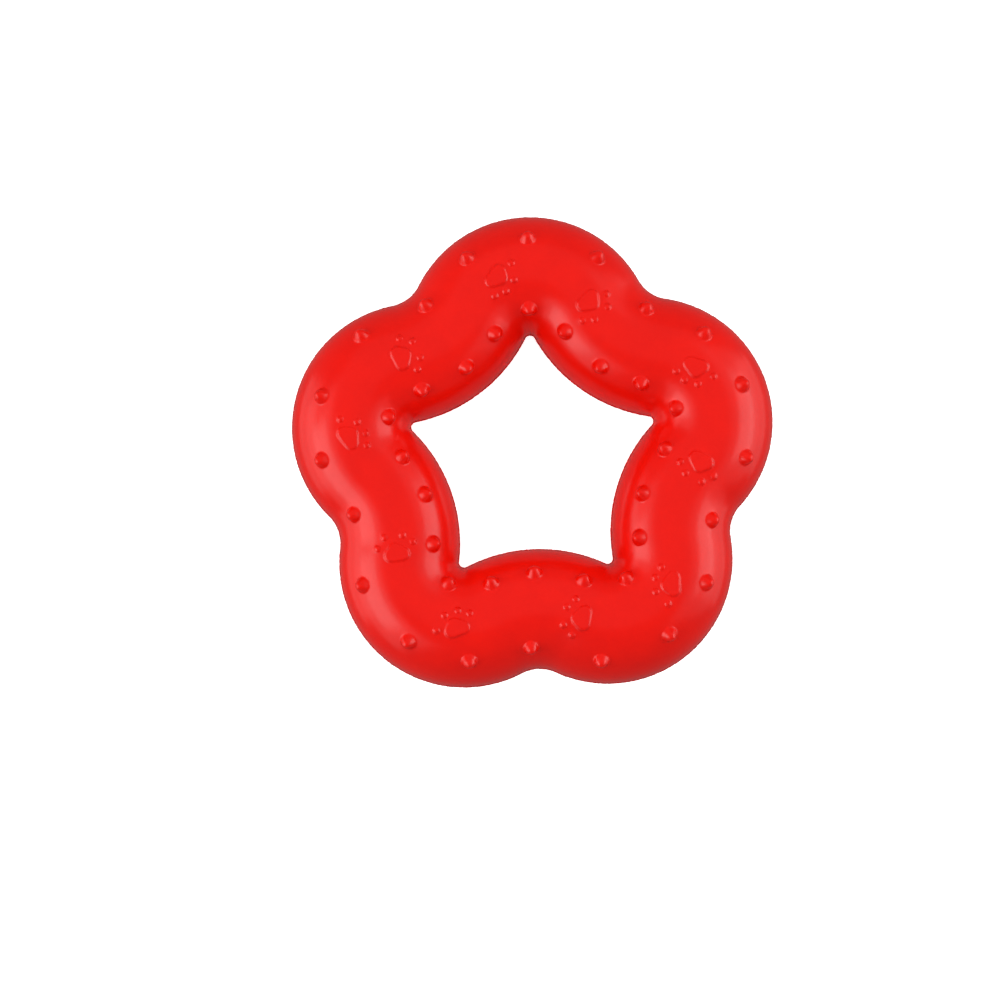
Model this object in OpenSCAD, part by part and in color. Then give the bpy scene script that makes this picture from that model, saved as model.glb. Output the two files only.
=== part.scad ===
// Hollow rubber chew ring with five lobes, moulded as two like halves that are
// cemented rim to rim. The origin is the middle of the ring, in the joint plane,
// with +Z up through the middle hole and one lobe pointing along +Y.

/* [Ring] */
// Overall width, across the two side lobes
overall_w = 135; // [124:1:160]
// Diameter of the round tube that the ring is bent from
tube_d = 33.2; // [28:0.2:37]
// Radius of the star hole's points, on the inside of each lobe
tip_r = 1.7; // [1:0.1:4]
// Radius of the hollow between two lobes, on the outside
notch_r = 10.9; // [7:0.1:16]

/* [Halves] */
// Thickness of the rubber wall
wall = 5; // [3.5:0.1:8]
// Thickness of the cured cement between the two rims
bond_t = 0.3; // [0.2:0.05:0.8]
// Height of the cement bead that stands proud of the joint
bead_h = 0.25; // [0.1:0.05:0.6]

/* [Nubs] */
// Diameter of a nub where it leaves the tube
nub_d = 4.6; // [3:0.1:6]
// Height of a nub above the tube
nub_h = 2.35; // [1:0.05:3]
// Diameter of a nub's blunt tip
nub_tip_d = 0.8; // [0.4:0.1:2]

/* [Paw marks] */
// Width of a paw mark's pad
pad_w = 7; // [5:0.1:9]
// Depth of a paw mark's pad, from heel to toe side
pad_l = 5.25; // [4:0.05:7]
// Radius of the pad's corners
pad_corner_r = 1.8; // [0.8:0.1:1.9]
// Height of a pad above the tube
pad_h = 0.55; // [0.4:0.05:1.2]
// Depth that the tops of the pads and toes are flattened, for the ring to lie on
rest_cut = 0.15; // [0.1:0.05:0.3]
// Diameter of a toe
toe_d = 2.1; // [1.8:0.1:3.2]
// Height of a toe above the tube
toe_h = 0.5; // [0.4:0.05:1.2]
// Distance from the middle of the pad to a toe, of which each toe has its own share
toe_reach = 5.15; // [4:0.05:6.5]

/* [Hidden] */
$fn = 64;

// The ring has five lobes, and a lobe and a waist by turns make its centre line
lobes = 5;
pitch = 360/lobes;
tube_r = tube_d/2;
lobe_bend = tube_r + tip_r;
waist_bend = tube_r + notch_r;
lobe_out = (overall_w/2 - lobe_bend - tube_r)/cos(pitch/4);
waist_out = lobe_out*cos(pitch/2)
    + sqrt(pow(lobe_bend + waist_bend, 2) - pow(lobe_out*sin(pitch/2), 2));
lobe_half = atan2(waist_out*sin(pitch/2), waist_out*cos(pitch/2) - lobe_out);
waist_half = lobe_half - pitch/2;

// A waist runs this far into the lobes beside it, and its skin lies this much lower
lap = 0.3;
lap_step = 0.04;
lap_angle = asin(lap/waist_bend);

// The pads and toes are cut off level at this height on both faces
rest_z = tube_r + pad_h - rest_cut;
cut_over = 2;

// Nubs on a lobe and on a waist: place as a share of the bend's half angle,
// and tilt off the crown in degrees, outwards positive
lobe_nub_shares = [0.003, 0.61, -0.676, 0.02];
lobe_nub_tilts = [31.9, 34.9, 38.9, -39.9];
waist_nub_shares = [0.28, 0.041, 0.766, -0.78];
waist_nub_tilts = [39.7, -36.4, -34.9, -35.6];
nub_root = 1.2;

// A nub's flank swells outwards between its foot and its tip, in straight steps
nub_swell = 2;
nub_steps = 3;

// Paw marks on each lobe: place as a share of its half angle, distance out from the
// crown as a share of the tube's radius, and the direction that the toes point, from
// the lobe's own axis
paw_shares = [0.463, -0.997];
paw_out_shares = [0.016, 0.011];
paw_turns = [-122, -134];
toe_angles = [[-65, -27.5, 20.5, 74.5], [-66, -29, 27.5, 66.5]];
toe_reach_shares = [[1.05, 0.93, 0.935, 1.085], [1.075, 1.01, 1.065, 1.07]];
pad_root = 1.5;
// The middles of the pad's three round corners, as shares of its width and depth
pad_corner_shares = [[-0.5, -0.24], [0.5, -0.34], [-0.08, 0.66]];
corner_steps = 4;

// Turns a plan point about the middle of the ring
function turned(p, a) = [p.x*cos(a) - p.y*sin(a), p.x*sin(a) + p.y*cos(a)];

// Plan point on lobe i, at an angle from its axis and a distance out from its crown
function lobe_point(i, a, out) =
    turned([lobe_out, 0] + (lobe_bend + out)*[cos(a), sin(a)], 90 + i*pitch);

// Plan point on the centre line that lies nearest to a plan point
function line_point(p) = let(
    i = round((atan2(p.y, p.x) - 90)/pitch),
    q = turned(p, -90 - i*pitch),
    side = q.y < 0 ? -1 : 1,
    on_lobe = abs(atan2(q.y, q.x - lobe_out)) < lobe_half,
    middle = on_lobe ? [lobe_out, 0]
        : waist_out*[cos(pitch/2), side*sin(pitch/2)],
    bend = on_lobe ? lobe_bend : waist_bend)
    turned(middle + bend*(q - middle)/norm(q - middle), 90 + i*pitch);

// Outline with round corners: each corner is an arc between its sides' normals
function round_outline(corners, r) = let(n = len(corners)) [
    for (k = [0:n - 1]) let(
        way_in = corners[k] - corners[(k + n - 1)%n],
        way_out = corners[(k + 1)%n] - corners[k],
        a_in = atan2(way_in.y, way_in.x) - 90,
        bend = (atan2(way_out.y, way_out.x) - 90 - a_in + 720)%360)
    for (s = [0:corner_steps]) let(a = a_in + bend*s/corner_steps)
        corners[k] + r*[cos(a), sin(a)]];

// Half of the tube's wall in section, above the joint plane
module wall_section(bend, skin) {
    translate([bend, 0])
        difference() {
            circle(skin);
            circle(2*tube_r - wall - skin);
            translate([-tube_r, -tube_r])
                square([2*tube_r, tube_r + bond_t/2]);
        }
}

// The cement bead in section, on the far side of the cavity from a bend's centre
// where side is 1, and on the near side where it is -1
module bead_section(bend, side, inset) {
    translate([bend + side*(tube_r - (wall - bead_h)/2), 0])
        square([wall + bead_h - 2*inset, bond_t], center = true);
}

// Sweeps a lobe's section and a waist's section round the ring
module round_ring() {
    for (i = [0:lobes - 1])
        rotate(90 + i*pitch) {
            translate([lobe_out, 0])
                rotate(-lobe_half)
                    rotate_extrude(angle = 2*lobe_half)
                        children(0);
            rotate(pitch/2)
                translate([waist_out, 0])
                    rotate(180 - waist_half - lap_angle)
                        rotate_extrude(angle = 2*(waist_half + lap_angle))
                            children(1);
        }
}

// Sets its children on the tube's skin, outwards from the skin along +Z
module on_lobe(i, share, tilt) {
    rotate(90 + i*pitch)
        translate([lobe_out, 0])
            rotate(share*lobe_half)
                translate([lobe_bend, 0])
                    rotate([0, tilt, 0])
                        translate([0, 0, tube_r])
                            children();
}

module on_waist(i, share, tilt) {
    rotate(90 + (i + 0.5)*pitch)
        translate([waist_out, 0])
            rotate(180 + share*waist_half)
                translate([waist_bend, 0])
                    rotate([0, -tilt, 0])
                        translate([0, 0, tube_r])
                            children();
}

// One nub: a cone with swollen flanks and a blunt tip, rooted in the wall
module nub() {
    tip_share = nub_tip_d/nub_d;
    flank = [for (s = [1:nub_steps]) let(share = 1 - (1 - tip_share)*s/nub_steps)
        [share*nub_d/2, nub_h*(1 - pow(share, nub_swell))/(1 - pow(tip_share, nub_swell))]];
    root_r = nub_d/2 + nub_root*(nub_d/2 - flank[0].x)/flank[0].y;
    rotate_extrude()
        polygon(concat([[0, -nub_root], [root_r, -nub_root]], flank, [[0, nub_h]]));
}

module nubs() {
    for (i = [0:lobes - 1]) {
        for (k = [0:len(lobe_nub_shares) - 1])
            on_lobe(i, lobe_nub_shares[k], lobe_nub_tilts[k]) nub();
        for (k = [0:len(waist_nub_shares) - 1])
            on_waist(i, waist_nub_shares[k], waist_nub_tilts[k]) nub();
    }
}

// A pad's top follows the tube: an upright block cut by a rod along the crown
module pad(toward_toes, out) {
    inner_w = pad_w - 2*pad_corner_r;
    inner_l = pad_l - 2*pad_corner_r;
    corners = [for (c = pad_corner_shares) [c.x*inner_w, c.y*inner_l]];
    intersection() {
        translate([0, 0, tube_r - pad_root])
            linear_extrude(pad_root + pad_h)
                translate([out, 0])
                    rotate(toward_toes - 90)
                        polygon(round_outline(corners, pad_corner_r));
        rotate([90, 0, 0])
            cylinder(r = tube_r + pad_h, h = 2*pad_w, center = true);
    }
}

// A toe is the cap of a ball that sits in the skin, square to it
module toe(plan) {
    ball_r = (pow(toe_d/2, 2) + pow(toe_h, 2))/(2*toe_h);
    line = line_point(plan);
    off = plan - line;
    up = sqrt(pow(tube_r, 2) - pow(norm(off), 2));
    depth = (tube_r + toe_h - ball_r)/tube_r;
    translate([line.x + off.x*depth, line.y + off.y*depth, up*depth])
        sphere(ball_r);
}

module paws() {
    for (i = [0:lobes - 1], k = [0:len(paw_shares) - 1]) {
        along = paw_shares[k]*lobe_half;
        out = paw_out_shares[k]*tube_r;
        middle = lobe_point(i, along, out);
        translate(lobe_point(i, along, 0))
            rotate(90 + i*pitch + along)
                pad(paw_turns[k] - along, out);
        for (t = [0:len(toe_angles[k]) - 1])
            toe(middle + turned([toe_reach_shares[k][t]*toe_reach, 0],
                                90 + i*pitch + paw_turns[k] + toe_angles[k][t]));
    }
}

// One moulded half, opening downwards, with its rim on the cement
module half_shell() {
    difference() {
        union() {
            round_ring() {
                wall_section(lobe_bend, tube_r);
                wall_section(waist_bend, tube_r - lap_step);
            }
            nubs();
            paws();
        }
        translate([-overall_w, -overall_w, rest_z])
            cube([2*overall_w, 2*overall_w, cut_over + nub_h]);
    }
}

module upper_shell() {
    color("red") half_shell();
}

// The lower half comes from the same mould and is turned over about Y
module lower_shell() {
    color("red") rotate([0, 180, 0]) half_shell();
}

// A bead on the lobes' far side is on the waists' near side
module bond(side) {
    color("firebrick")
        round_ring() {
            bead_section(lobe_bend, side, 0);
            bead_section(waist_bend, -side, lap_step);
        }
}

module outer_bond() {
    bond(1);
}

module inner_bond() {
    bond(-1);
}

upper_shell();
lower_shell();
outer_bond();
inner_bond();
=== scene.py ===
"""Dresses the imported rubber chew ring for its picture.

The ring is two identical moulded halves, with a line of cement between their outer rims and
one between their inner rims. Each half starts as a flat sheet for one fifth of the ring, with
nubs and paw marks raised on it. Geometry Nodes bend the sheet round the tube and repeat it
about the star hole.
"""
from math import acos, asin, atan2, cos, pi, radians, sin, sqrt

import bpy
from bpy.props import FloatProperty, FloatVectorProperty, PointerProperty
from bpy.types import Operator, Panel, PropertyGroup
from mathutils import Matrix, Vector
from mathutils.geometry import delaunay_2d_cdt


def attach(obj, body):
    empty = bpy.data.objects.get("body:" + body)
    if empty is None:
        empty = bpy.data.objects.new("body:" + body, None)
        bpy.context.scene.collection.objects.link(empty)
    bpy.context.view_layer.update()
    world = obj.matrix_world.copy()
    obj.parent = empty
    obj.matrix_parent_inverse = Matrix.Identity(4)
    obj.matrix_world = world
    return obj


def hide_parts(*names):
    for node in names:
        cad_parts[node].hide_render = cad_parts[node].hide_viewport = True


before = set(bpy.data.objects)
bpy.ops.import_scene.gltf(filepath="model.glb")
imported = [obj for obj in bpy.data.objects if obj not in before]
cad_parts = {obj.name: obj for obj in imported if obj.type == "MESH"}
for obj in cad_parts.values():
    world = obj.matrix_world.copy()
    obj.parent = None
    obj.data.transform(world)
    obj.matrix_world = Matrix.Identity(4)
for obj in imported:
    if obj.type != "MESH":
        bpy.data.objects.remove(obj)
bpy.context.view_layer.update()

bl_info = {
    "name": "Chew Ring",
    "version": (1, 0, 0),
    "blender": (4, 5, 0),
    "location": "View3D > Sidebar > Chew Ring",
    "description": "Builds a hollow rubber chew ring, its cement lines and a studio for it",
    "category": "Add Mesh",
}

# Lengths are in metres
MM = 0.001
LOBES = 5
PITCH = 2*pi/LOBES
# The angle round the tube at its crown
UP = pi/2

# Nubs on one fifth of the ring. On the lobe: place as a share of its half length, and
# tilt off the crown, outwards positive. On the waist before it: the same, with the
# share positive away from the lobe.
LOBE_NUBS = [(0.003, 31.9), (0.61, 34.9), (-0.676, 38.9), (0.02, -39.9)]
WAIST_NUBS = [(0.28, 39.7), (0.041, -36.4), (0.766, -34.9), (-0.78, -35.6)]
# A nub drops from its tip as this power of the distance from its axis
NUB_SWELL = 2

# Paw marks on the lobe: place as a share of its half length, distance out from the crown
# as a share of the tube's radius, the direction that the paw points, from the lobe's own
# axis, and each toe's direction from that and share of the reach
PAWS = [
    (0.463, 0.016, -122, [(-65, 1.05), (-27.5, 0.93), (20.5, 0.935), (74.5, 1.085)]),
    (-0.997, 0.011, -134, [(-66, 1.075), (-29, 1.01), (27.5, 1.065), (66.5, 1.07)]),
]
# The middles of the pad's three round corners, as shares of its width and depth, each less
# twice the corner radius
PAD_CORNERS = [(-0.5, -0.24), (0.5, -0.34), (-0.08, 0.66)]

# Points round a nub and round a toe
NUB_POINTS = 28
TOE_POINTS = 20
# The spacing of the skin's other points, and the strip that they leave free round a mark
GRAIN = 0.8*MM
MARK_GAP = 0.3*MM
# The radius of the round edge between skin and rim, and how far in its middle lies
RIM_EDGE = 0.12*MM
EDGE_MIDDLE = 0.035*MM
# Rows over the cavity, and points along one fifth of a cement line
CAVITY_ROWS = 22
SEAM_COLUMNS = 480

# The cement's edge over the skin: shares of the bead's height and of half the thickness
BEAD = [(0, 1), (0.6, 0.95), (1, 0.5)]


class RingSizes(PropertyGroup):
    overall_width: FloatProperty(
        name="Overall width", description="Width across the two side lobes",
        default=0.135, min=0.124, max=0.16, precision=4, unit="LENGTH")
    tube_diameter: FloatProperty(
        name="Tube diameter", description="Diameter of the tube that the ring is bent from",
        default=0.0332, min=0.028, max=0.037, precision=4, unit="LENGTH")
    tip_radius: FloatProperty(
        name="Point radius", description="Radius of the star hole's points",
        default=0.0017, min=0.001, max=0.004, precision=4, unit="LENGTH")
    notch_radius: FloatProperty(
        name="Hollow radius", description="Radius of the hollow between two lobes",
        default=0.0109, min=0.007, max=0.016, precision=4, unit="LENGTH")
    wall: FloatProperty(
        name="Wall", description="Thickness of the rubber wall",
        default=0.005, min=0.0035, max=0.008, precision=4, unit="LENGTH")


class NubSizes(PropertyGroup):
    diameter: FloatProperty(
        name="Diameter", description="Diameter of a nub where it leaves the tube",
        default=0.0046, min=0.003, max=0.006, precision=4, unit="LENGTH")
    height: FloatProperty(
        name="Height", description="Height of a nub above the tube",
        default=0.00235, min=0.001, max=0.003, precision=5, unit="LENGTH")


class PawSizes(PropertyGroup):
    pad_width: FloatProperty(
        name="Pad width", description="Width of a paw mark's pad",
        default=0.007, min=0.005, max=0.009, precision=4, unit="LENGTH")
    pad_length: FloatProperty(
        name="Pad length", description="Depth of a pad, from heel to toe side",
        default=0.00525, min=0.004, max=0.007, precision=5, unit="LENGTH")
    corner_radius: FloatProperty(
        name="Corner radius", description="Radius of the pad's corners",
        default=0.0018, min=0.0008, max=0.0019, precision=5, unit="LENGTH")
    pad_height: FloatProperty(
        name="Pad height", description="Height of a pad above the tube",
        default=0.00055, min=0.0004, max=0.0012, precision=5, unit="LENGTH")
    rest_cut: FloatProperty(
        name="Rest cut", description="Depth that the highest tops are flattened",
        default=0.00015, min=0.0001, max=0.0003, precision=5, unit="LENGTH")
    toe_diameter: FloatProperty(
        name="Toe diameter", description="Diameter of a toe where it leaves the tube",
        default=0.0021, min=0.0018, max=0.0032, precision=4, unit="LENGTH")
    toe_height: FloatProperty(
        name="Toe height", description="Height of a toe above the tube",
        default=0.0005, min=0.0004, max=0.0012, precision=5, unit="LENGTH")
    toe_reach: FloatProperty(
        name="Toe reach", description="Distance from the middle of the pad to each toe",
        default=0.00515, min=0.004, max=0.0065, precision=5, unit="LENGTH")


class SeamSizes(PropertyGroup):
    thickness: FloatProperty(
        name="Thickness", description="Thickness of the cement between the two rims",
        default=0.0003, min=0.0002, max=0.0008, precision=5, unit="LENGTH")
    bead_height: FloatProperty(
        name="Bead height", description="Height that the cement stands proud of the joint",
        default=0.00025, min=0.0001, max=0.0006, precision=5, unit="LENGTH")
    raggedness: FloatProperty(
        name="Raggedness", description="How far the trimmed edge wanders in and out",
        default=0.00018, min=0, max=0.0002, precision=5, unit="LENGTH")


class Finishes(PropertyGroup):
    rubber: FloatVectorProperty(
        name="Rubber", description="Colour of the moulded rubber",
        default=(0.87, 0.0055, 0.0012, 1), size=4, min=0, max=1, subtype="COLOR")
    rubber_deep: FloatVectorProperty(
        name="Deep rubber", description="Colour of the rubber where the pigment lies thicker",
        default=(0.81, 0.0043, 0.001, 1), size=4, min=0, max=1, subtype="COLOR")
    cement: FloatVectorProperty(
        name="Cement", description="Colour of the cured cement",
        default=(0.62, 0.012, 0.008, 1), size=4, min=0, max=1, subtype="COLOR")


class StageSettings(PropertyGroup):
    floor: FloatVectorProperty(
        name="Floor", description="Colour of the floor",
        default=(0.9, 0.9, 0.9, 1), size=4, min=0, max=1, subtype="COLOR")
    floor_glow: FloatProperty(
        name="Floor glow", description="Brightness of the floor's own glow",
        default=0.9, min=0, max=2)
    left_power: FloatProperty(
        name="Left softbox", description="Power of the softbox on the left",
        default=1.75, min=0, unit="POWER")
    left_spread_power: FloatProperty(
        name="Left spread", description="Power of the wide panel round the left softbox",
        default=2.8, min=0, unit="POWER")
    left_card_power: FloatProperty(
        name="Left card", description="Power of the low white card on the left",
        default=2.0, min=0, unit="POWER")
    right_power: FloatProperty(
        name="Right softbox", description="Power of the softbox on the right",
        default=1.6, min=0, unit="POWER")
    right_spread_power: FloatProperty(
        name="Right spread", description="Power of the wide panel round the right softbox",
        default=1.5, min=0, unit="POWER")
    right_card_power: FloatProperty(
        name="Right card", description="Power of the low white card on the right",
        default=1.9, min=0, unit="POWER")
    fill_power: FloatProperty(
        name="Fill", description="Power of the overhead fill",
        default=29.8, min=0, unit="POWER")
    back_power: FloatProperty(
        name="Back fill", description="Power of the low fill behind the ring",
        default=0.3, min=0, unit="POWER")
    ceiling_power: FloatProperty(
        name="Ceiling", description="Power of the faint ceiling that the crowns reflect",
        default=1.5, min=0, unit="POWER")
    table_power: FloatProperty(
        name="Light table", description="Power of the light table under the floor",
        default=19, min=0, unit="POWER")
    surround: FloatProperty(
        name="Surround", description="Brightness of the room round the stage",
        default=0.16, min=0, max=2)
    lens: FloatProperty(
        name="Lens", description="Focal length of the camera",
        default=99.7, min=20, max=300, unit="CAMERA")


class ChewRingSettings(PropertyGroup):
    ring: PointerProperty(type=RingSizes)
    nubs: PointerProperty(type=NubSizes)
    paws: PointerProperty(type=PawSizes)
    seams: PointerProperty(type=SeamSizes)
    finishes: PointerProperty(type=Finishes)
    stage: PointerProperty(type=StageSettings)


class Ring:
    """The ring's skin, on which a place is a length along the centre line from the lobe's
    middle and an angle round the tube: 0 at the outer rim, UP on the crown."""

    def __init__(self, sizes):
        self.tube_r = sizes.tube_diameter/2
        self.lobe_bend = self.tube_r + sizes.tip_radius
        self.waist_bend = self.tube_r + sizes.notch_radius
        # The two side lobes point a quarter of a pitch off the width's own direction
        self.lobe_out = (sizes.overall_width/2 - self.lobe_bend - self.tube_r)/cos(PITCH/4)
        side = self.lobe_out*sin(PITCH/2)
        self.waist_out = (self.lobe_out*cos(PITCH/2)
                          + sqrt((self.lobe_bend + self.waist_bend)**2 - side**2))
        self.lobe_half = atan2(self.waist_out*sin(PITCH/2),
                               self.waist_out*cos(PITCH/2) - self.lobe_out)
        self.waist_half = self.lobe_half - PITCH/2
        self.lobe_middle = Vector((self.lobe_out, 0))
        self.waist_middle = Vector((self.waist_out*cos(PITCH/2), -self.waist_out*sin(PITCH/2)))
        self.lobe_run = self.lobe_half*self.lobe_bend
        self.waist_run = self.waist_half*self.waist_bend
        self.start = -self.lobe_run - 2*self.waist_run
        self.end = self.lobe_run

    def place(self, along, angle):
        """The point in space of a place on the skin."""
        out = self.tube_r*cos(angle)
        if along > -self.lobe_run:
            middle, reach, turn = self.lobe_middle, self.lobe_bend + out, along/self.lobe_bend
        else:
            middle, reach = self.waist_middle, self.waist_bend - out
            turn = pi - self.lobe_half - (along + self.lobe_run)/self.waist_bend
        return Vector((middle.x + reach*cos(turn), middle.y + reach*sin(turn),
                       self.tube_r*sin(angle)))

    def under(self, plan, height=0):
        """The place on the skin that lies under a plan point at a height over the skin."""
        arm = plan - self.lobe_middle
        turn = atan2(arm.y, arm.x)
        if turn > -self.lobe_half:
            along, out = turn*self.lobe_bend, arm.length - self.lobe_bend
        else:
            arm = plan - self.waist_middle
            turn = atan2(arm.y, arm.x)
            along = -self.lobe_run - (turn - pi + self.lobe_half)*self.waist_bend
            out = self.waist_bend - arm.length
        return along, acos(out/(self.tube_r + height))

    def beside(self, along, angle, distance, direction, height):
        """The place at a true distance from another, in a direction from the centre line."""
        reach = self.tube_r + height
        angle += distance*sin(direction)/reach
        lobe_stretch = 1 + reach*cos(angle)/self.lobe_bend
        waist_stretch = 1 - reach*cos(angle)/self.waist_bend
        # A step over the join is split there, because its two sides are stretched differently
        step = distance*cos(direction)
        past_join = along + self.lobe_run
        if past_join > 0:
            step = max(step, -past_join*lobe_stretch)/lobe_stretch + min(
                0, step + past_join*lobe_stretch)/waist_stretch
        else:
            step = min(step, -past_join*waist_stretch)/waist_stretch + max(
                0, step + past_join*waist_stretch)/lobe_stretch
        return along + step, angle


class Sheet:
    """A flat sheet for one fifth of a piece: points with heights, lines that the triangles
    keep, and faces."""

    def __init__(self, ring):
        self.ring = ring
        self.flat = []
        self.heights = []
        self.lines = []
        self.faces = []

    def add(self, along, angle, height):
        """Adds a point and returns its number."""
        self.flat.append(Vector((along, angle*self.ring.tube_r)))
        self.heights.append(height)
        return len(self.flat) - 1

    def loop(self, places):
        """Adds a closed line through (along, angle, height) places."""
        first = len(self.flat)
        for place in places:
            self.add(*place)
        last = len(self.flat) - 1
        self.lines += [(k, k + 1) for k in range(first, last)] + [(last, first)]

    def fill(self):
        """Spans the points with triangles."""
        whole_hull, same_point = 0, 1e-9
        flat, _, faces, sources, _, _ = delaunay_2d_cdt(
            self.flat, self.lines, [], whole_hull, same_point)
        if len(flat) != len(self.flat):
            raise RuntimeError("two marks on the sheet run into each other")
        # Blender returns the points in its own order
        self.faces = [[sources[k][0] for k in face] for face in faces]

    def span(self, rows):
        """Joins rows of points, each as long as the next, with four-sided faces."""
        for low, high in zip(rows, rows[1:]):
            self.faces += [[low[k], low[k + 1], high[k + 1], high[k]]
                           for k in range(len(low) - 1)]

    def mesh(self, name):
        """The sheet as a mesh, whose points keep their height as the attribute rise."""
        made = bpy.data.meshes.new(name)
        made.from_pydata([(p.x, p.y, h) for p, h in zip(self.flat, self.heights)], [], self.faces)
        made.polygons.foreach_set("use_smooth", [True]*len(made.polygons))
        rise = made.attributes.new("rise", "FLOAT", "POINT")
        rise.data.foreach_set("value", self.heights)
        made.validate()
        return made


def plan_way(angle):
    """The plan direction at an angle."""
    return Vector((cos(angle), sin(angle)))


def rest_level(ring, paws):
    """The height of the level tops that the ring lies on."""
    return ring.tube_r + paws.pad_height - paws.rest_cut


def levelled(ring, angle, height, top, level):
    """A mark's height over the skin, lowered in proportion where its top would pass a level."""
    if level is None:
        return height
    room = level/sin(angle) - ring.tube_r
    # The bend from the mark's own top to the level is eased over this height
    ease = 0.06*MM
    return height/top*(min(top, room) - max(0, ease - abs(top - room))**2/(4*ease))


def softened(corners, steps=4):
    """A section's (across, height) points from (across, height, rounding) corners."""
    points = [Vector(corners[0][:2])]
    for before, corner, after in zip(corners, corners[1:], corners[2:]):
        tip = Vector(corner[:2])
        into = tip + (Vector(before[:2]) - tip).normalized()*corner[2]
        outof = tip + (Vector(after[:2]) - tip).normalized()*corner[2]
        for k in range(steps + 1):
            t = k/steps
            points.append(into*(1 - t)**2 + tip*2*t*(1 - t) + outof*t**2)
    points.append(Vector(corners[-1][:2]))
    return points


class RoundMark:
    """A nub or a toe: a round section stood on the skin."""

    def __init__(self, ring, along, angle, section, count, level=None):
        self.ring = ring
        self.along, self.angle = along, angle
        self.section, self.count = section, count
        self.level = level
        self.middle = ring.place(along, angle)
        self.reach = section[0].x

    def covers(self, point, margin):
        """Whether a point on the skin lies under the mark or its margin."""
        return (point - self.middle).length < self.reach + margin

    def top(self, point):
        """A round mark has no points but its own, so it lifts no other."""
        return 0

    def lay(self, sheet):
        """Adds the mark's points and lines to a sheet."""
        ring = self.ring
        top = self.section[-1].y
        for across, height in self.section:
            if across == 0:
                sheet.add(self.along, self.angle,
                          levelled(ring, self.angle, height, top, self.level))
                continue
            places = []
            for k in range(self.count):
                along, angle = ring.beside(
                    self.along, self.angle, across, 2*pi*k/self.count, height)
                places.append((along, angle, levelled(ring, angle, height, top, self.level)))
            sheet.loop(places)


class Pad:
    """A paw mark's pad: a block with round corners and a sloping side, upright on the crown."""

    CORNER_STEPS = 5
    SIDE_STEPS = 6

    def __init__(self, ring, middle, heading, sizes, section, level):
        self.ring, self.section, self.level = ring, section, level
        self.radius = sizes.corner_radius
        turn = Matrix.Rotation(heading - pi/2, 2)
        inner = Vector((sizes.pad_width - 2*self.radius, sizes.pad_length - 2*self.radius))
        self.corners = [middle + turn @ Vector((x*inner.x, y*inner.y)) for x, y in PAD_CORNERS]
        self.sides = list(zip(self.corners, self.corners[1:] + self.corners[:1]))
        self.reach = -section[0].x

    def outset(self, point):
        """How far a plan point lies outside the lines between the corners' middles."""
        if all((b - a).cross(point - a) > 0 for a, b in self.sides):
            return 0

        def distance(a, b):
            """From the point to the nearest point between two others."""
            t = min(1, max(0, (point - a).dot(b - a)/(b - a).length_squared))
            return (point - a.lerp(b, t)).length

        return min(distance(a, b) for a, b in self.sides)

    def outline(self):
        """Points on the lines between the corners' middles, with their way out."""
        rim = []
        for k, (corner, after) in enumerate(self.sides):
            way_in, way_out = corner - self.corners[k - 1], after - corner
            first = atan2(way_in.y, way_in.x) - pi/2
            bend = (atan2(way_out.y, way_out.x) - pi/2 - first) % (2*pi)
            for step in range(self.CORNER_STEPS + 1):
                way = plan_way(first + bend*step/self.CORNER_STEPS)
                rim.append((corner, way))
            # A straight side keeps the way out that its corner ends in
            for step in range(1, self.SIDE_STEPS):
                rim.append((corner.lerp(after, step/self.SIDE_STEPS), way))
        return rim

    def covers(self, point, margin):
        """Whether a point on the skin lies under the pad's sloping side or its margin."""
        outset = self.outset(point.xy)
        top_edge = self.radius - self.section[-1].x
        return top_edge - margin < outset < self.radius + self.reach + margin

    def top(self, point):
        """The height of the pad's top over a point, or 0 beside the pad."""
        return self.section[-1].y if self.outset(point.xy) < self.radius else 0

    def lay(self, sheet):
        """Adds the points and lines of the pad's sloping side to a sheet."""
        rim = self.outline()
        top = self.section[-1].y
        for inset, height in self.section:
            places = []
            for foot, way in rim:
                along, angle = self.ring.under(foot + way*(self.radius - inset), height)
                places.append((along, angle,
                               levelled(self.ring, angle, height, top, self.level)))
            sheet.loop(places)


def nub_section(sizes):
    """From the skin beside a nub, up its swollen flank to its tip."""
    foot, steps = sizes.diameter/2, 9
    skirt, fillet = 0.45*MM, 0.36*MM
    flank = [(foot*k/steps, sizes.height*(1 - (k/steps)**NUB_SWELL))
             for k in range(steps - 2, -1, -1)]
    root = softened([(foot + skirt, 0, 0), (foot, 0, fillet), (*flank[0], 0)])
    return root + [Vector(point) for point in flank[1:]]


def toe_section(sizes):
    """From the skin beside a toe, over its low dome."""
    base, height, steps = sizes.toe_diameter/2, sizes.toe_height, 6
    ball = (base**2 + height**2)/(2*height)
    spread = asin(base/ball)
    skirt, root_out, root_up = 0.12*MM, 0.03*MM, 0.015*MM
    section = [Vector((base + skirt, 0)), Vector((base + root_out, root_up))]
    for k in range(1, steps + 1):
        a = spread*(1 - k/steps)
        section.append(Vector((ball*sin(a), height - ball*(1 - cos(a)))))
    section[-1].x = 0
    return section


def pad_section(sizes):
    """From the skin beside a pad, up its sloping side to its top: (inset, height)."""
    height = sizes.pad_height
    skirt, half_slope, lip, fillet = 0.6*MM, 0.25*MM, 0.75*MM, 0.3*MM
    return softened([(-skirt, 0, 0), (-half_slope, 0, fillet), (half_slope, height, fillet),
                     (lip, height, 0)])


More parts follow.
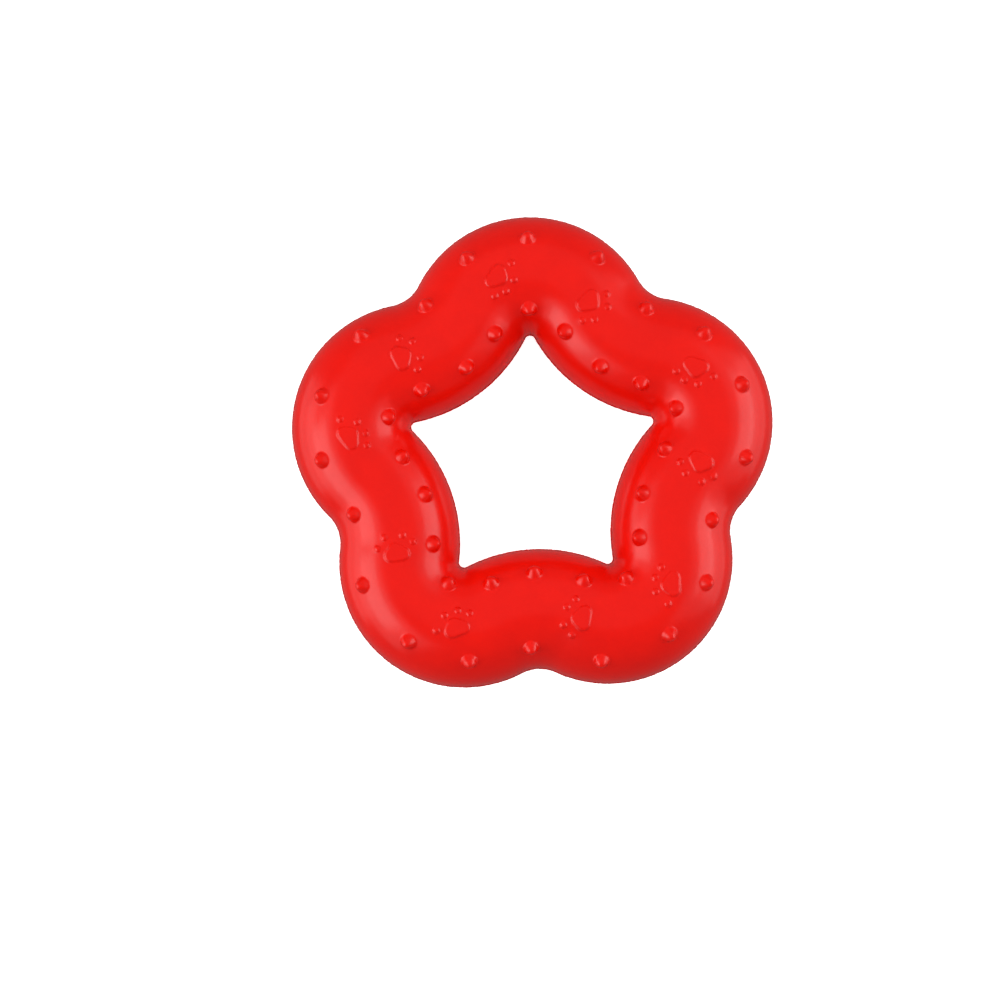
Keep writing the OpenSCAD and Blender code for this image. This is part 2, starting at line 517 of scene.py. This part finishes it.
def marks_on(ring, nubs, paws):
    """Every nub, pad and toe of one fifth of a half."""
    level = rest_level(ring, paws)
    places = [(share*ring.lobe_run, tilt) for share, tilt in LOBE_NUBS]
    places += [(-ring.lobe_run - (1 + share)*ring.waist_run, tilt) for share, tilt in WAIST_NUBS]
    made = [RoundMark(ring, along, UP - radians(tilt), nub_section(nubs), NUB_POINTS)
            for along, tilt in places]
    for share, out, heading, toes in PAWS:
        middle = ring.place(share*ring.lobe_run, acos(out)).xy
        made.append(Pad(ring, middle, radians(heading), paws, pad_section(paws), level))
        for turn, reach in toes:
            along, angle = ring.under(
                middle + reach*paws.toe_reach*plan_way(radians(heading + turn)))
            made.append(RoundMark(ring, along, angle, toe_section(paws), TOE_POINTS, level))
    return made


def half_sheet(ring, sizes, nubs, paws, seams):
    """The flat sheet of one fifth of a half: its skin, its rims and its cavity."""
    sheet = Sheet(ring)
    marks = marks_on(ring, nubs, paws)
    for mark in marks:
        mark.lay(sheet)
    columns = round((ring.end - ring.start)/GRAIN)
    # An even number of rows gives both edges the places of row 0
    rows = 2*round(pi*ring.tube_r/GRAIN/2)
    rim_angle = asin((seams.thickness/2 + RIM_EDGE)/ring.tube_r)
    level = rest_level(ring, paws)

    def alongs(row):
        """Places along a row, staggered from those of the next."""
        step = (ring.end - ring.start)/columns
        if row % 2 == 0:
            return [ring.start + step*k for k in range(columns)] + [ring.end]
        return [ring.start] + [ring.start + step*(k + 0.5) for k in range(columns)] + [ring.end]

    skin = []
    for row in range(rows + 1):
        angle = rim_angle + (pi - 2*rim_angle)*row/rows
        line = []
        for along in alongs(row):
            point = ring.place(along, angle)
            if any(mark.covers(point, MARK_GAP) for mark in marks):
                continue
            top = max(mark.top(point) for mark in marks)
            height = levelled(ring, angle, top, top, level) if top else 0
            line.append(sheet.add(along, angle, height))
        skin.append(line)
    sheet.fill()

    def row_at(depth, lift, far_side):
        """A row on the rim, at a depth under the skin and a lift over the cement."""
        angle = asin((seams.thickness/2 + lift)/(ring.tube_r - depth))
        return [sheet.add(along, pi - angle if far_side else angle, -depth)
                for along in alongs(0)]

    rim = [(EDGE_MIDDLE, EDGE_MIDDLE), (RIM_EDGE, 0), (sizes.wall/2, 0), (sizes.wall, 0)]
    around = [skin[-1]] + [row_at(depth, lift, True) for depth, lift in rim]
    for row in range(1, CAVITY_ROWS):
        around.append([sheet.add(along, pi*(1 - row/CAVITY_ROWS), -sizes.wall)
                       for along in alongs(0)])
    around += [row_at(depth, lift, False) for depth, lift in reversed(rim)] + [skin[0]]
    sheet.span(around)
    return sheet


def seam_sheet(ring, sizes, seams, far_side):
    """The flat strip of one fifth of a cement line, closed round its section."""
    half, bead = seams.thickness/2, seams.bead_height
    section = ([(-sizes.wall, -half)] + [(out*bead, -lift*half) for out, lift in BEAD]
               + [(out*bead, lift*half) for out, lift in reversed(BEAD)] + [(-sizes.wall, half)])
    if far_side:
        section.reverse()
    sheet = Sheet(ring)
    alongs = [ring.start + (ring.end - ring.start)*k/SEAM_COLUMNS for k in range(SEAM_COLUMNS)]
    rows = []
    for height, lift in section:
        angle = asin(lift/(ring.tube_r + height))
        rows.append([sheet.add(along, pi - angle if far_side else angle, height)
                     for along in alongs + [ring.end]])
    sheet.span(rows + rows[:1])
    return sheet


class Wire:
    """A node's output that takes Python's operators, each of which adds a Math node."""

    def __init__(self, board, socket):
        self.board = board
        self.socket = socket

    def __add__(self, other):
        return self.board.maths("ADD", self, other)

    def __radd__(self, other):
        return self.board.maths("ADD", other, self)

    def __sub__(self, other):
        return self.board.maths("SUBTRACT", self, other)

    def __rsub__(self, other):
        return self.board.maths("SUBTRACT", other, self)

    def __mul__(self, other):
        return self.board.maths("MULTIPLY", self, other)

    def __rmul__(self, other):
        return self.board.maths("MULTIPLY", other, self)

    def __truediv__(self, other):
        return self.board.maths("DIVIDE", self, other)

    def __rtruediv__(self, other):
        return self.board.maths("DIVIDE", other, self)


class Board:
    """Adds nodes to one tree."""

    def __init__(self, tree):
        self.tree = tree

    def add(self, kind, settings=None, values=None, output=0):
        """Adds a node, sets it up, and sets or links its sockets."""
        node = self.tree.nodes.new(kind)
        for name, value in (settings or {}).items():
            setattr(node, name, value)
        for key, value in (values or {}).items():
            if isinstance(value, Wire):
                self.tree.links.new(value.socket, node.inputs[key])
            else:
                node.inputs[key].default_value = value
        return Wire(self, node.outputs[output]) if node.outputs else None

    def maths(self, operation, *terms):
        """Adds a Math node on wires and numbers."""
        return self.add("ShaderNodeMath", {"operation": operation}, dict(enumerate(terms)))


def ring_tree():
    """Bends a flat sheet round the tube and repeats it about the star hole."""
    tree = bpy.data.node_groups.new("bend_round_ring", "GeometryNodeTree")
    for name, kind in [
            ("Sheet", "Geometry"), ("Tube Radius", "Float"), ("Lobe Bend", "Float"),
            ("Waist Bend", "Float"), ("Lobe Distance", "Float"), ("Waist Distance", "Float"),
            ("Lobe Half Angle", "Float"), ("Lobes", "Int"), ("Turn Over", "Float"),
            ("Raggedness", "Float"), ("Material", "Material")]:
        tree.interface.new_socket(name, in_out="INPUT", socket_type="NodeSocket" + kind)
    tree.interface.new_socket("Ring", in_out="OUTPUT", socket_type="NodeSocketGeometry")
    board = Board(tree)
    source = board.add("NodeGroupInput").socket.node
    given = {socket.name: Wire(board, socket) for socket in source.outputs if socket.name}

    position = board.add("GeometryNodeInputPosition")
    split = board.add("ShaderNodeSeparateXYZ", None, {"Vector": position}).socket.node
    along, across, height = (Wire(board, socket) for socket in split.outputs)

    tube, lobe_bend, waist_bend = (
        given[name] for name in ("Tube Radius", "Lobe Bend", "Waist Bend"))
    lobe_half = given["Lobe Half Angle"]
    pitch = 2*pi/given["Lobes"]
    angle = across/tube
    out = (tube + height)*board.maths("COSINE", angle)
    up = (tube + height)*board.maths("SINE", angle)

    past_join = along + lobe_half*lobe_bend
    lobe = board.maths("GREATER_THAN", past_join, 0)
    waist = 1 - lobe
    turn = lobe*along/lobe_bend + waist*(pi - lobe_half - past_join/waist_bend)
    reach = lobe*(lobe_bend + out) + waist*(waist_bend - out)
    middle_x = (lobe*given["Lobe Distance"]
                + waist*given["Waist Distance"]*board.maths("COSINE", pitch/2))
    middle_y = -1*waist*given["Waist Distance"]*board.maths("SINE", pitch/2)
    # The lobe's own axis is turned to point along +Y
    bent = board.add("ShaderNodeCombineXYZ", None, {
        "X": -1*(middle_y + reach*board.maths("SINE", turn)),
        "Y": middle_x + reach*board.maths("COSINE", turn),
        "Z": up})
    fifth = board.add("GeometryNodeSetPosition", None, {
        "Geometry": given["Sheet"], "Position": bent})

    instance = board.add("GeometryNodeGeometryToInstance", None, {"Geometry": fifth})
    copies = board.add("GeometryNodeDuplicateElements", {"domain": "INSTANCE"}, {
        "Geometry": instance, "Amount": given["Lobes"]})
    number = Wire(board, copies.socket.node.outputs["Duplicate Index"])
    circle = board.add("GeometryNodeRotateInstances", None, {
        "Instances": copies,
        "Rotation": board.add("ShaderNodeCombineXYZ", None, {"Z": number*pitch})})
    turned = board.add("GeometryNodeRotateInstances", None, {
        "Instances": circle, "Local Space": False,
        "Rotation": board.add("ShaderNodeCombineXYZ", None, {"Y": given["Turn Over"]})})
    ring = board.add("GeometryNodeRealizeInstances", None, {"Geometry": turned})
    # The fifths are welded where they meet
    ring = board.add("GeometryNodeMergeByDistance", None, {"Geometry": ring, "Distance": 2e-6})

    # The trimmed edge wanders where it stands proud of the skin
    rise = board.add("GeometryNodeInputNamedAttribute", {"data_type": "FLOAT"}, {"Name": "rise"})
    proud = board.maths("GREATER_THAN", rise, 0)
    wander = board.add("ShaderNodeTexNoise", {"noise_dimensions": "3D"}, {
        "Scale": 1300, "Detail": 2, "Roughness": 0.6})
    push = (wander - 0.5)*2*given["Raggedness"]*proud
    ring = board.add("GeometryNodeSetPosition", None, {
        "Geometry": ring,
        "Offset": board.add("ShaderNodeVectorMath", {"operation": "SCALE"}, {
            "Vector": board.add("GeometryNodeInputNormal"), "Scale": push})})
    ring = board.add("GeometryNodeSetMaterial", None, {
        "Geometry": ring, "Material": given["Material"]})
    board.add("NodeGroupOutput", None, {"Ring": ring})
    return tree


def new_object(name, data):
    """A new object in the scene."""
    made = bpy.data.objects.new(name, data)
    bpy.context.scene.collection.objects.link(made)
    return made


def bend_round(sheet, name, turn_over, raggedness, material):
    """A finished piece from a flat sheet, in place and at the origin."""
    ring = sheet.ring
    tree = bpy.data.node_groups.get("bend_round_ring") or ring_tree()
    flat = new_object(name + "_flat", sheet.mesh(name + "_flat"))
    bend = flat.modifiers.new("Bend Round Ring", "NODES")
    bend.node_group = tree
    values = {
        "Tube Radius": ring.tube_r, "Lobe Bend": ring.lobe_bend, "Waist Bend": ring.waist_bend,
        "Lobe Distance": ring.lobe_out, "Waist Distance": ring.waist_out,
        "Lobe Half Angle": ring.lobe_half, "Lobes": LOBES, "Turn Over": turn_over,
        "Raggedness": raggedness, "Material": material}
    for socket in tree.interface.items_tree:
        if socket.name in values:
            bend[socket.identifier] = values[socket.name]
    graph = bpy.context.evaluated_depsgraph_get()
    mesh = bpy.data.meshes.new_from_object(flat.evaluated_get(graph))
    bpy.data.objects.remove(flat)
    mesh.name = name
    return new_object(name, mesh)


def new_material(name):
    """A new material with no nodes, and the board that adds them."""
    material = bpy.data.materials.new(name)
    material.use_nodes = True
    material.node_tree.nodes.clear()
    return material, Board(material.node_tree)


def finish_material(board, values):
    """Ends a material in its shader."""
    shader = board.add("ShaderNodeBsdfPrincipled", None, values)
    board.add("ShaderNodeOutputMaterial", None, {"Surface": shader})


def noise(board, place, size, detail, roughness):
    """Noise from 0 to 1 whose blots are about a size across, in metres."""
    return board.add("ShaderNodeTexNoise", {"noise_dimensions": "3D"}, {
        "Vector": place, "Scale": 1/size, "Detail": detail, "Roughness": roughness})


def blend(board, share, colour, other):
    """A colour that goes from one to another as a share goes from 0 to 1."""
    # The Mix node has more than one socket of each name, so its sockets go by number
    factor, first, second, result = 0, 6, 7, 2
    return board.add("ShaderNodeMix", {"data_type": "RGBA"}, {
        factor: share, first: colour, second: other}, result)


def rubber_material(finishes):
    """Satin moulded rubber with faint clouds of pigment and a fine skin grain."""
    material, board = new_material("red_rubber")
    place = board.add("ShaderNodeTexCoord", output="Object")
    clouds = noise(board, place, 9*MM, 3, 0.6)
    speckle = noise(board, place, 0.9*MM, 2, 0.6)
    grain = noise(board, place, 0.35*MM, 2, 0.6)
    depth = board.add("ShaderNodeMapRange", None, {
        "Value": clouds*0.75 + speckle*0.25, "From Min": 0.35, "From Max": 0.65})
    colour = blend(board, depth, tuple(finishes.rubber), tuple(finishes.rubber_deep))
    bump = board.add("ShaderNodeBump", None, {
        "Strength": 0.1, "Distance": 0.05*MM, "Height": grain + speckle*0.5})
    # The raised marks come shinier out of the mould than the skin round them
    rise = board.add("ShaderNodeAttribute", {"attribute_name": "rise"}, output="Fac")
    raised = board.add("ShaderNodeMapRange", None, {
        "Value": rise, "From Min": 0.05*MM, "From Max": 0.3*MM})
    satin, sheen = 0.23, 0.07
    roughness = satin - sheen*raised + 0.1*(speckle - 0.5) + 0.06*(clouds - 0.5)
    finish_material(board, {
        "Base Color": colour, "Roughness": roughness, "IOR": 1.5, "Normal": bump})
    return material


def cement_material(finishes):
    """Matte trimmed cement."""
    material, board = new_material("cured_cement")
    place = board.add("ShaderNodeTexCoord", output="Object")
    tone = noise(board, place, 0.6*MM, 3, 0.7)
    shade = 0.65
    dark = tuple(shade*channel for channel in finishes.cement[:3]) + (1,)
    colour = blend(board, tone, tuple(finishes.cement), dark)
    bump = board.add("ShaderNodeBump", None, {
        "Strength": 0.4, "Distance": 0.05*MM, "Height": tone})
    finish_material(board, {
        "Base Color": colour, "Roughness": 0.55 + 0.2*tone, "Normal": bump})
    return material


def floor_material(stage):
    """A pale floor that glows as if lit from below."""
    material, board = new_material("pale_floor")
    finish_material(board, {
        "Base Color": tuple(stage.floor), "Roughness": 0.7,
        "Emission Color": (1, 1, 1, 1), "Emission Strength": stage.floor_glow})
    return material


def lay_floor(stage, level):
    """A round floor at the height of the tops that the ring lies on."""
    mesh = bpy.data.meshes.new("floor")
    radius, sides = 3, 96
    mesh.from_pydata([(radius*cos(2*pi*k/sides), radius*sin(2*pi*k/sides), -level)
                      for k in range(sides)], [], [range(sides)])
    floor = new_object("floor", mesh)
    # The light table lights the ring through the floor, which gives it no light itself
    floor.visible_glossy = floor.visible_diffuse = floor.visible_shadow = False
    mesh.materials.append(floor_material(stage))


def hang_lights(stage):
    """Softboxes, cards and fills that face the middle of the ring."""
    for name, place, width, height, power, glossy in [
            ("left_softbox", (-0.76, -0.24, 0.43), 0.7, 0.5, stage.left_power, True),
            ("left_spread", (-0.8, -0.25, 0.4), 1.4, 1.1, stage.left_spread_power, True),
            ("left_card", (-1.1, 0, -0.1), 1.2, 0.9, stage.left_card_power, True),
            ("right_softbox", (0.8, 0.06, 0.34), 0.7, 0.5, stage.right_power, True),
            ("right_spread", (0.82, 0.06, 0.37), 1.4, 1.1, stage.right_spread_power, True),
            ("right_card", (1.1, 0.1, -0.1), 1.2, 0.9, stage.right_card_power, True),
            ("overhead_fill", (0, 0.35, 1.4), 3.2, 3.2, stage.fill_power, False),
            ("back_fill", (-0.2, 1.0, 0.35), 1.6, 0.6, stage.back_power, False),
            ("ceiling", (0, 0.55, 1.25), 2, 2, stage.ceiling_power, True),
            ("light_table", (0, 0, -0.3), 3, 3, stage.table_power, False)]:
        light = bpy.data.lights.new(name, "AREA")
        light.shape, light.size, light.size_y, light.energy = "RECTANGLE", width, height, power
        # With this on, a fill still shows in the gloss, as a haze on the crowns
        light.cycles.use_multiple_importance_sampling = glossy
        lamp = new_object(name, light)
        lamp.location = place
        lamp.rotation_euler = Vector(place).to_track_quat("Z", "Y").to_euler()
        lamp.visible_glossy = glossy
        lamp.visible_camera = False


def set_room(scene, stage):
    """Even white light from all round, and colours shown without tone mapping."""
    world = bpy.data.worlds.new("studio")
    world.use_nodes = True
    background = world.node_tree.nodes["Background"].inputs
    background["Color"].default_value = (1, 1, 1, 1)
    background["Strength"].default_value = stage.surround
    scene.world = world
    scene.view_settings.view_transform = "Standard"


def place_camera(scene, stage):
    """A camera nearly square over the ring, turned a little about its own line of sight."""
    camera = new_object("camera", bpy.data.cameras.new("camera"))
    camera.data.lens = stage.lens
    place, aim = Vector((-9.94, -50.31, 778.29))*MM, Vector((-9.64, -10.46, 0))*MM
    roll = radians(1.5)
    back = (place - aim).normalized()
    side = Vector((sin(roll), cos(roll), 0)).cross(back).normalized()
    camera.matrix_world = Matrix.Translation(place) @ Matrix(
        (side, back.cross(side), back)).transposed().to_4x4()
    scene.camera = camera


class CHEWRING_OT_halves(Operator):
    """Makes the two moulded rubber halves"""
    bl_idname = "chew_ring.halves"
    bl_label = "Moulded halves"

    def execute(self, context):
        settings = context.scene.chew_ring
        ring = Ring(settings.ring)
        sheet = half_sheet(ring, settings.ring, settings.nubs, settings.paws, settings.seams)
        material = rubber_material(settings.finishes)
        for name, turn_over, node in [
                ("upper_half", 0, "upper_shell"), ("lower_half", pi, "lower_shell")]:
            piece = bend_round(sheet, name, turn_over, 0, material)
            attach(piece, "root")
            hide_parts(node)
        return {"FINISHED"}


class CHEWRING_OT_seams(Operator):
    """Makes the two trimmed lines of cement between the halves"""
    bl_idname = "chew_ring.seams"
    bl_label = "Cement lines"

    def execute(self, context):
        settings = context.scene.chew_ring
        ring = Ring(settings.ring)
        material = cement_material(settings.finishes)
        for name, far_side, node in [
                ("outer_seam", False, "outer_bond"), ("inner_seam", True, "inner_bond")]:
            sheet = seam_sheet(ring, settings.ring, settings.seams, far_side)
            piece = bend_round(sheet, name, 0, settings.seams.raggedness, material)
            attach(piece, "root")
            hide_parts(node)
        return {"FINISHED"}


class CHEWRING_OT_stage(Operator):
    """Makes the floor, the studio light and the camera"""
    bl_idname = "chew_ring.stage"
    bl_label = "Floor, light and camera"

    def execute(self, context):
        settings = context.scene.chew_ring
        lay_floor(settings.stage, rest_level(Ring(settings.ring), settings.paws))
        hang_lights(settings.stage)
        set_room(context.scene, settings.stage)
        place_camera(context.scene, settings.stage)
        return {"FINISHED"}


class CHEWRING_PT_sidebar(Panel):
    """Lists the steps that make the ring and its stage"""
    bl_idname = "CHEWRING_PT_sidebar"
    bl_label = "Chew Ring"
    bl_space_type = "VIEW_3D"
    bl_region_type = "UI"
    bl_category = "Chew Ring"

    def draw(self, context):
        for operator in OPERATORS:
            self.layout.operator(operator.bl_idname)


OPERATORS = (CHEWRING_OT_halves, CHEWRING_OT_seams, CHEWRING_OT_stage)
CLASSES = (RingSizes, NubSizes, PawSizes, SeamSizes, Finishes, StageSettings,
           ChewRingSettings, *OPERATORS, CHEWRING_PT_sidebar)


def register():
    for one in CLASSES:
        bpy.utils.register_class(one)
    bpy.types.Scene.chew_ring = PointerProperty(type=ChewRingSettings)


def unregister():
    del bpy.types.Scene.chew_ring
    for one in reversed(CLASSES):
        bpy.utils.unregister_class(one)


def main():
    register()
    bpy.ops.chew_ring.halves()
    bpy.ops.chew_ring.seams()
    bpy.ops.chew_ring.stage()


if __name__ == "__main__":
    main()
